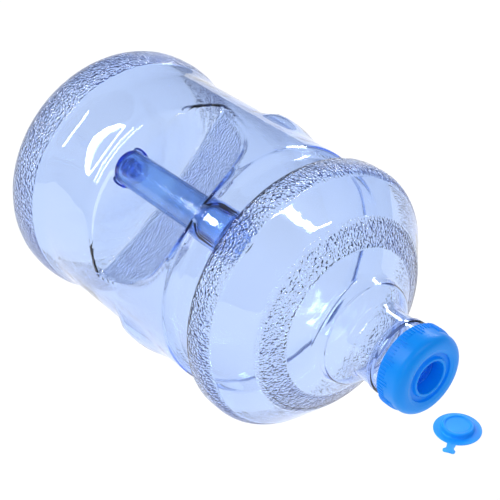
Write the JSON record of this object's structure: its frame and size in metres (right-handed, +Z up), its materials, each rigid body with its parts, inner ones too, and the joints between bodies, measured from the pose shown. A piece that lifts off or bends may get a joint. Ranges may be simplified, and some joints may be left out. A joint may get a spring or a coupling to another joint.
{
  "type": "large water jug",
  "caption": "Clear blue refillable water jug lying on its side, with a rod handle set in a hand pocket, a ribbed screw cap and a loose dust lid.",
  "frame": {"origin": "on the surface it lies on, under the middle of the whole object", "axes": "+X along the jug from base to cap, +Z up"},
  "size_m": [0.41, 0.222, 0.222],
  "materials": {
    "clear_blue_plastic": "clear blue-tinted polycarbonate, glossy, with pebbled bands",
    "handle_plastic": "clear blue moulded polycarbonate, glossy",
    "cap_plastic": "bright blue polyethylene, satin",
    "gasket_foam": "white closed-cell foam",
    "plug_plastic": "bright blue polyethylene, satin",
    "lid_plastic": "bright blue polyethylene, satin"
  },
  "bodies": {
    "bottle": {"bottle_shell": "clear_blue_plastic", "carry_handle": "handle_plastic"},
    "seal": {"cap_gasket": "gasket_foam"},
    "cap": {"screw_cap": "cap_plastic"},
    "plug": {"spill_plug": "plug_plastic"},
    "lid": {"dust_lid": "lid_plastic"}
  },
  "joints": [
    {"name": "cap_rise", "type": "slide", "parent": "bottle", "child": "seal", "axis": [1, 0, 0], "range_m": [0, 0.0241]},
    {"name": "cap_turn", "type": "hinge", "parent": "seal", "child": "cap", "pos_m": [0.195, 0, 0.111], "axis": [-1, 0, 0], "range_deg": [-1440, 0]},
    {"name": "plug_press", "type": "slide", "parent": "cap", "child": "plug", "axis": [-1, 0, 0], "range_m": [0, 0.012]},
    {"name": "lid_swing", "type": "hinge", "parent": "seal", "child": "lid", "pos_m": [0.16168, 0.01345, 0.04922], "axis": [0.59, -0.5512, -0.59], "range_deg": [0, 122.27]}
  ],
  "couplings": [
    {"joint": "cap_rise", "follows": "cap_turn", "m_per_rad": -0.00095493}
  ]
}
